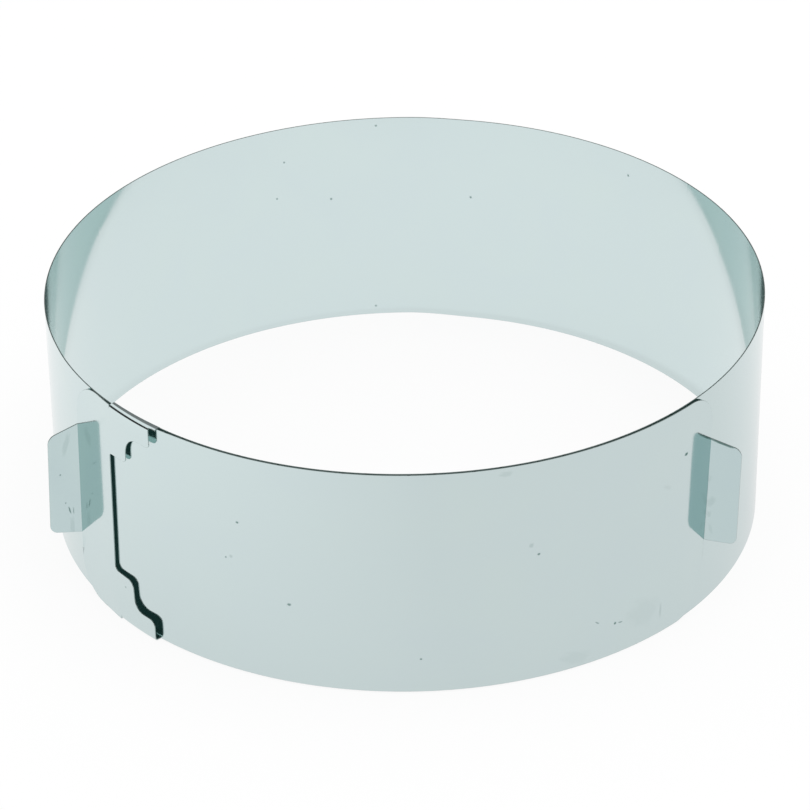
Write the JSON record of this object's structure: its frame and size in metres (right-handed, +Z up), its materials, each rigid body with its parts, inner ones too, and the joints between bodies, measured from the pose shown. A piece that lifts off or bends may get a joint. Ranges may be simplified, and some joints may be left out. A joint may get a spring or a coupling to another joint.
{
  "type": "adjustable cake ring",
  "caption": "Adjustable cake ring of thin spring steel: an overlapping strip runs through its own folded guide, and two bent tabs are pushed apart or together to set the diameter.",
  "frame": {"origin": "Centre of the footprint at table height, on the ring's axis to within half a millimetre.", "axes": "+Z up along the ring's axis, -Y towards the guide and the overlapping ends at the front, +X to the right."},
  "size_m": [0.2474, 0.2484, 0.085],
  "materials": {
    "step": "bright spring steel sheet, lightly brushed",
    "inner_21": "bright spring steel sheet, lightly brushed",
    "inner_20": "bright spring steel sheet, lightly brushed",
    "inner_19": "bright spring steel sheet, lightly brushed",
    "inner_18": "bright spring steel sheet, lightly brushed",
    "inner_17": "bright spring steel sheet, lightly brushed",
    "inner_16": "bright spring steel sheet, lightly brushed",
    "inner_15": "bright spring steel sheet, lightly brushed",
    "inner_14": "bright spring steel sheet, lightly brushed",
    "inner_13": "bright spring steel sheet, lightly brushed",
    "inner_12": "bright spring steel sheet, lightly brushed",
    "inner_11": "bright spring steel sheet, lightly brushed",
    "inner_10": "bright spring steel sheet, lightly brushed",
    "inner_09": "bright spring steel sheet, lightly brushed",
    "inner_08": "bright spring steel sheet, lightly brushed",
    "inner_07": "bright spring steel sheet, lightly brushed",
    "inner_06": "bright spring steel sheet, lightly brushed",
    "inner_05": "bright spring steel sheet, lightly brushed",
    "inner_04": "bright spring steel sheet, lightly brushed",
    "inner_03": "bright spring steel sheet, lightly brushed",
    "inner_02": "bright spring steel sheet, lightly brushed",
    "inner_01": "bright spring steel sheet, lightly brushed",
    "top_guide_fold": "bright spring steel sheet, lightly brushed",
    "bottom_guide_fold": "bright spring steel sheet, lightly brushed",
    "guide_plate": "bright spring steel sheet, lightly brushed",
    "left_handle": "bright spring steel sheet, lightly brushed",
    "outer_01": "bright spring steel sheet, lightly brushed",
    "outer_02": "bright spring steel sheet, lightly brushed",
    "outer_03": "bright spring steel sheet, lightly brushed",
    "outer_04": "bright spring steel sheet, lightly brushed",
    "outer_05": "bright spring steel sheet, lightly brushed",
    "outer_06": "bright spring steel sheet, lightly brushed",
    "outer_07": "bright spring steel sheet, lightly brushed",
    "outer_08": "bright spring steel sheet, lightly brushed",
    "outer_09": "bright spring steel sheet, lightly brushed",
    "outer_10": "bright spring steel sheet, lightly brushed",
    "outer_11": "bright spring steel sheet, lightly brushed",
    "outer_12": "bright spring steel sheet, lightly brushed",
    "outer_13": "bright spring steel sheet, lightly brushed",
    "outer_14": "bright spring steel sheet, lightly brushed",
    "outer_15": "bright spring steel sheet, lightly brushed",
    "outer_16": "bright spring steel sheet, lightly brushed",
    "outer_17": "bright spring steel sheet, lightly brushed",
    "outer_18": "bright spring steel sheet, lightly brushed",
    "outer_19": "bright spring steel sheet, lightly brushed",
    "outer_20": "bright spring steel sheet, lightly brushed",
    "outer_21": "bright spring steel sheet, lightly brushed",
    "outer_22": "bright spring steel sheet, lightly brushed",
    "outer_23": "bright spring steel sheet, lightly brushed",
    "outer_24": "bright spring steel sheet, lightly brushed",
    "right_handle": "bright spring steel sheet, lightly brushed"
  },
  "bodies": {
    "step": {"step": "step"},
    "inner_21": {"inner_21": "inner_21"},
    "inner_20": {"inner_20": "inner_20"},
    "inner_19": {"inner_19": "inner_19"},
    "inner_18": {"inner_18": "inner_18"},
    "inner_17": {"inner_17": "inner_17"},
    "inner_16": {"inner_16": "inner_16"},
    "inner_15": {"inner_15": "inner_15"},
    "inner_14": {"inner_14": "inner_14"},
    "inner_13": {"inner_13": "inner_13"},
    "inner_12": {"inner_12": "inner_12"},
    "inner_11": {"inner_11": "inner_11"},
    "inner_10": {"inner_10": "inner_10"},
    "inner_09": {"inner_09": "inner_09"},
    "inner_08": {"inner_08": "inner_08"},
    "inner_07": {"inner_07": "inner_07"},
    "inner_06": {"inner_06": "inner_06"},
    "inner_05": {"inner_05": "inner_05"},
    "inner_04": {"inner_04": "inner_04"},
    "inner_03": {"inner_03": "inner_03"},
    "inner_02": {"inner_02": "inner_02"},
    "inner_01": {"inner_01": "inner_01"},
    "folds": {"top_guide_fold": "top_guide_fold", "bottom_guide_fold": "bottom_guide_fold"},
    "guide": {"guide_plate": "guide_plate", "left_handle": "left_handle"},
    "outer_01": {"outer_01": "outer_01"},
    "outer_02": {"outer_02": "outer_02"},
    "outer_03": {"outer_03": "outer_03"},
    "outer_04": {"outer_04": "outer_04"},
    "outer_05": {"outer_05": "outer_05"},
    "outer_06": {"outer_06": "outer_06"},
    "outer_07": {"outer_07": "outer_07"},
    "outer_08": {"outer_08": "outer_08"},
    "outer_09": {"outer_09": "outer_09"},
    "outer_10": {"outer_10": "outer_10"},
    "outer_11": {"outer_11": "outer_11"},
    "outer_12": {"outer_12": "outer_12"},
    "outer_13": {"outer_13": "outer_13"},
    "outer_14": {"outer_14": "outer_14"},
    "outer_15": {"outer_15": "outer_15"},
    "outer_16": {"outer_16": "outer_16"},
    "outer_17": {"outer_17": "outer_17"},
    "outer_18": {"outer_18": "outer_18"},
    "outer_19": {"outer_19": "outer_19"},
    "outer_20": {"outer_20": "outer_20"},
    "outer_21": {"outer_21": "outer_21"},
    "outer_22": {"outer_22": "outer_22"},
    "outer_23": {"outer_23": "outer_23"},
    "outer_24": {"outer_24": "outer_24", "right_handle": "right_handle"}
  },
  "joints": [
    {"name": "ring_size", "type": "hinge", "parent": "step", "child": "outer_01", "pos_m": [0.00261, 0.12398, 0], "axis": [0, 0, 1], "range_deg": [-1.86, 4.64]},
    {"name": "flex_inner_21", "type": "hinge", "parent": "step", "child": "inner_21", "pos_m": [0.02394, 0.12084, 0], "axis": [0, 0, -1], "range_deg": [-1.89, 4.71]},
    {"name": "flex_inner_20", "type": "hinge", "parent": "inner_21", "child": "inner_20", "pos_m": [0.04457, 0.11492, 0], "axis": [0, 0, -1], "range_deg": [-1.89, 4.72]},
    {"name": "flex_inner_19", "type": "hinge", "parent": "inner_20", "child": "inner_19", "pos_m": [0.06385, 0.10552, 0], "axis": [0, 0, -1], "range_deg": [-1.89, 4.72]},
    {"name": "flex_inner_18", "type": "hinge", "parent": "inner_19", "child": "inner_18", "pos_m": [0.08121, 0.0929, 0], "axis": [0, 0, -1], "range_deg": [-1.89, 4.72]},
    {"name": "flex_inner_17", "type": "hinge", "parent": "inner_18", "child": "inner_17", "pos_m": [0.09612, 0.07747, 0], "axis": [0, 0, -1], "range_deg": [-1.89, 4.72]},
    {"name": "flex_inner_16", "type": "hinge", "parent": "inner_17", "child": "inner_16", "pos_m": [0.10812, 0.05968, 0], "axis": [0, 0, -1], "range_deg": [-1.89, 4.72]},
    {"name": "flex_inner_15", "type": "hinge", "parent": "inner_16", "child": "inner_15", "pos_m": [0.11684, 0.04008, 0], "axis": [0, 0, -1], "range_deg": [-1.89, 4.72]},
    {"name": "flex_inner_14", "type": "hinge", "parent": "inner_15", "child": "inner_14", "pos_m": [0.12203, 0.01926, 0], "axis": [0, 0, -1], "range_deg": [-1.89, 4.72]},
    {"name": "flex_inner_13", "type": "hinge", "parent": "inner_14", "child": "inner_13", "pos_m": [0.12353, -0.00215, 0], "axis": [0, 0, -1], "range_deg": [-1.89, 4.72]},
    {"name": "flex_inner_12", "type": "hinge", "parent": "inner_13", "child": "inner_12", "pos_m": [0.12129, -0.02349, 0], "axis": [0, 0, -1], "range_deg": [-1.89, 4.72]},
    {"name": "flex_inner_11", "type": "hinge", "parent": "inner_12", "child": "inner_11", "pos_m": [0.11537, -0.04412, 0], "axis": [0, 0, -1], "range_deg": [-1.89, 4.72]},
    {"name": "flex_inner_10", "type": "hinge", "parent": "inner_11", "child": "inner_10", "pos_m": [0.10597, -0.0634, 0], "axis": [0, 0, -1], "range_deg": [-1.89, 4.72]},
    {"name": "flex_inner_09", "type": "hinge", "parent": "inner_10", "child": "inner_09", "pos_m": [0.09335, -0.08076, 0], "axis": [0, 0, -1], "range_deg": [-1.89, 4.72]},
    {"name": "flex_inner_08", "type": "hinge", "parent": "inner_09", "child": "inner_08", "pos_m": [0.07792, -0.09567, 0], "axis": [0, 0, -1], "range_deg": [-1.89, 4.72]},
    {"name": "flex_inner_07", "type": "hinge", "parent": "inner_08", "child": "inner_07", "pos_m": [0.06013, -0.10767, 0], "axis": [0, 0, -1], "range_deg": [-1.89, 4.72]},
    {"name": "flex_inner_06", "type": "hinge", "parent": "inner_07", "child": "inner_06", "pos_m": [0.04053, -0.11639, 0], "axis": [0, 0, -1], "range_deg": [-1.89, 4.72]},
    {"name": "flex_inner_05", "type": "hinge", "parent": "inner_06", "child": "inner_05", "pos_m": [0.01971, -0.12158, 0], "axis": [0, 0, -1], "range_deg": [-1.89, 4.72]},
    {"name": "flex_inner_04", "type": "hinge", "parent": "inner_05", "child": "inner_04", "pos_m": [-0.0017, -0.12308, 0], "axis": [0, 0, -1], "range_deg": [-1.89, 4.72]},
    {"name": "flex_inner_03", "type": "hinge", "parent": "inner_04", "child": "inner_03", "pos_m": [-0.02304, -0.12084, 0], "axis": [0, 0, -1], "range_deg": [-1.89, 4.72]},
    {"name": "flex_inner_02", "type": "hinge", "parent": "inner_03", "child": "inner_02", "pos_m": [-0.04367, -0.11492, 0], "axis": [0, 0, -1], "range_deg": [-1.89, 4.72]},
    {"name": "flex_inner_01", "type": "hinge", "parent": "inner_02", "child": "inner_01", "pos_m": [-0.06295, -0.10552, 0], "axis": [0, 0, -1], "range_deg": [-1.89, 4.72]},
    {"name": "flex_folds", "type": "hinge", "parent": "inner_01", "child": "folds", "pos_m": [-0.08031, -0.0929, 0], "axis": [0, 0, -1], "range_deg": [-1.89, 4.72]},
    {"name": "flex_guide", "type": "hinge", "parent": "folds", "child": "guide", "pos_m": [-0.097, -0.07892, 0], "axis": [0, 0, -1], "range_deg": [-1.99, 4.96]},
    {"name": "flex_outer_02", "type": "hinge", "parent": "outer_01", "child": "outer_02", "pos_m": [-0.0185, 0.12254, 0], "axis": [0, 0, 1], "range_deg": [-1.84, 4.58]},
    {"name": "flex_outer_03", "type": "hinge", "parent": "outer_02", "child": "outer_03", "pos_m": [-0.03907, 0.11753, 0], "axis": [0, 0, 1], "range_deg": [-1.84, 4.58]},
    {"name": "flex_outer_04", "type": "hinge", "parent": "outer_03", "child": "outer_04", "pos_m": [-0.05848, 0.1091, 0], "axis": [0, 0, 1], "range_deg": [-1.84, 4.58]},
    {"name": "flex_outer_05", "type": "hinge", "parent": "outer_04", "child": "outer_05", "pos_m": [-0.07618, 0.09749, 0], "axis": [0, 0, 1], "range_deg": [-1.84, 4.58]},
    {"name": "flex_outer_06", "type": "hinge", "parent": "outer_05", "child": "outer_06", "pos_m": [-0.09164, 0.08304, 0], "axis": [0, 0, 1], "range_deg": [-1.84, 4.58]},
    {"name": "flex_outer_07", "type": "hinge", "parent": "outer_06", "child": "outer_07", "pos_m": [-0.10442, 0.06617, 0], "axis": [0, 0, 1], "range_deg": [-1.84, 4.58]},
    {"name": "flex_outer_08", "type": "hinge", "parent": "outer_07", "child": "outer_08", "pos_m": [-0.11415, 0.04737, 0], "axis": [0, 0, 1], "range_deg": [-1.84, 4.58]},
    {"name": "flex_outer_09", "type": "hinge", "parent": "outer_08", "child": "outer_09", "pos_m": [-0.12053, 0.02719, 0], "axis": [0, 0, 1], "range_deg": [-1.84, 4.58]},
    {"name": "flex_outer_10", "type": "hinge", "parent": "outer_09", "child": "outer_10", "pos_m": [-0.12339, 0.00622, 0], "axis": [0, 0, 1], "range_deg": [-1.84, 4.58]},
    {"name": "flex_outer_11", "type": "hinge", "parent": "outer_10", "child": "outer_11", "pos_m": [-0.12265, -0.01493, 0], "axis": [0, 0, 1], "range_deg": [-1.84, 4.58]},
    {"name": "flex_outer_12", "type": "hinge", "parent": "outer_11", "child": "outer_12", "pos_m": [-0.11831, -0.03565, 0], "axis": [0, 0, 1], "range_deg": [-1.84, 4.58]},
    {"name": "flex_outer_13", "type": "hinge", "parent": "outer_12", "child": "outer_13", "pos_m": [-0.11052, -0.05533, 0], "axis": [0, 0, 1], "range_deg": [-1.84, 4.58]},
    {"name": "flex_outer_14", "type": "hinge", "parent": "outer_13", "child": "outer_14", "pos_m": [-0.0995, -0.0734, 0], "axis": [0, 0, 1], "range_deg": [-1.84, 4.58]},
    {"name": "flex_outer_15", "type": "hinge", "parent": "outer_14", "child": "outer_15", "pos_m": [-0.08556, -0.08932, 0], "axis": [0, 0, 1], "range_deg": [-1.84, 4.58]},
    {"name": "flex_outer_16", "type": "hinge", "parent": "outer_15", "child": "outer_16", "pos_m": [-0.06911, -0.10265, 0], "axis": [0, 0, 1], "range_deg": [-1.84, 4.58]},
    {"name": "flex_outer_17", "type": "hinge", "parent": "outer_16", "child": "outer_17", "pos_m": [-0.05064, -0.11298, 0], "axis": [0, 0, 1], "range_deg": [-1.84, 4.58]},
    {"name": "flex_outer_18", "type": "hinge", "parent": "outer_17", "child": "outer_18", "pos_m": [-0.03068, -0.12003, 0], "axis": [0, 0, 1], "range_deg": [-1.84, 4.58]},
    {"name": "flex_outer_19", "type": "hinge", "parent": "outer_18", "child": "outer_19", "pos_m": [-0.00982, -0.12357, 0], "axis": [0, 0, 1], "range_deg": [-1.84, 4.58]},
    {"name": "flex_outer_20", "type": "hinge", "parent": "outer_19", "child": "outer_20", "pos_m": [0.01135, -0.12352, 0], "axis": [0, 0, 1], "range_deg": [-1.84, 4.58]},
    {"name": "flex_outer_21", "type": "hinge", "parent": "outer_20", "child": "outer_21", "pos_m": [0.0322, -0.11987, 0], "axis": [0, 0, 1], "range_deg": [-1.84, 4.58]},
    {"name": "flex_outer_22", "type": "hinge", "parent": "outer_21", "child": "outer_22", "pos_m": [0.05212, -0.11272, 0], "axis": [0, 0, 1], "range_deg": [-1.84, 4.58]},
    {"name": "flex_outer_23", "type": "hinge", "parent": "outer_22", "child": "outer_23", "pos_m": [0.07054, -0.10229, 0], "axis": [0, 0, 1], "range_deg": [-1.84, 4.58]},
    {"name": "flex_outer_24", "type": "hinge", "parent": "outer_23", "child": "outer_24", "pos_m": [0.08691, -0.08888, 0], "axis": [0, 0, 1], "range_deg": [-1.84, 4.58]}
  ],
  "couplings": [
    {"joint": "flex_inner_21", "follows": "ring_size", "ratio": 1.0151},
    {"joint": "flex_inner_20", "follows": "ring_size", "ratio": 1.0174},
    {"joint": "flex_inner_19", "follows": "ring_size", "ratio": 1.0174},
    {"joint": "flex_inner_18", "follows": "ring_size", "ratio": 1.0174},
    {"joint": "flex_inner_17", "follows": "ring_size", "ratio": 1.0174},
    {"joint": "flex_inner_16", "follows": "ring_size", "ratio": 1.0174},
    {"joint": "flex_inner_15", "follows": "ring_size", "ratio": 1.0174},
    {"joint": "flex_inner_14", "follows": "ring_size", "ratio": 1.0174},
    {"joint": "flex_inner_13", "follows": "ring_size", "ratio": 1.0174},
    {"joint": "flex_inner_12", "follows": "ring_size", "ratio": 1.0174},
    {"joint": "flex_inner_11", "follows": "ring_size", "ratio": 1.0174},
    {"joint": "flex_inner_10", "follows": "ring_size", "ratio": 1.0174},
    {"joint": "flex_inner_09", "follows": "ring_size", "ratio": 1.0174},
    {"joint": "flex_inner_08", "follows": "ring_size", "ratio": 1.0174},
    {"joint": "flex_inner_07", "follows": "ring_size", "ratio": 1.0174},
    {"joint": "flex_inner_06", "follows": "ring_size", "ratio": 1.0174},
    {"joint": "flex_inner_05", "follows": "ring_size", "ratio": 1.0174},
    {"joint": "flex_inner_04", "follows": "ring_size", "ratio": 1.0174},
    {"joint": "flex_inner_03", "follows": "ring_size", "ratio": 1.0174},
    {"joint": "flex_inner_02", "follows": "ring_size", "ratio": 1.0174},
    {"joint": "flex_inner_01", "follows": "ring_size", "ratio": 1.0174},
    {"joint": "flex_folds", "follows": "ring_size", "ratio": 1.0174},
    {"joint": "flex_guide", "follows": "ring_size", "ratio": 1.0683},
    {"joint": "flex_outer_02", "follows": "ring_size", "ratio": 0.98723},
    {"joint": "flex_outer_03", "follows": "ring_size", "ratio": 0.98723},
    {"joint": "flex_outer_04", "follows": "ring_size", "ratio": 0.98723},
    {"joint": "flex_outer_05", "follows": "ring_size", "ratio": 0.98723},
    {"joint": "flex_outer_06", "follows": "ring_size", "ratio": 0.98723},
    {"joint": "flex_outer_07", "follows": "ring_size", "ratio": 0.98723},
    {"joint": "flex_outer_08", "follows": "ring_size", "ratio": 0.98723},
    {"joint": "flex_outer_09", "follows": "ring_size", "ratio": 0.98723},
    {"joint": "flex_outer_10", "follows": "ring_size", "ratio": 0.98723},
    {"joint": "flex_outer_11", "follows": "ring_size", "ratio": 0.98723},
    {"joint": "flex_outer_12", "follows": "ring_size", "ratio": 0.98723},
    {"joint": "flex_outer_13", "follows": "ring_size", "ratio": 0.98723},
    {"joint": "flex_outer_14", "follows": "ring_size", "ratio": 0.98723},
    {"joint": "flex_outer_15", "follows": "ring_size", "ratio": 0.98723},
    {"joint": "flex_outer_16", "follows": "ring_size", "ratio": 0.98723},
    {"joint": "flex_outer_17", "follows": "ring_size", "ratio": 0.98723},
    {"joint": "flex_outer_18", "follows": "ring_size", "ratio": 0.98723},
    {"joint": "flex_outer_19", "follows": "ring_size", "ratio": 0.98723},
    {"joint": "flex_outer_20", "follows": "ring_size", "ratio": 0.98723},
    {"joint": "flex_outer_21", "follows": "ring_size", "ratio": 0.98723},
    {"joint": "flex_outer_22", "follows": "ring_size", "ratio": 0.98723},
    {"joint": "flex_outer_23", "follows": "ring_size", "ratio": 0.98723},
    {"joint": "flex_outer_24", "follows": "ring_size", "ratio": 0.98723}
  ]
}
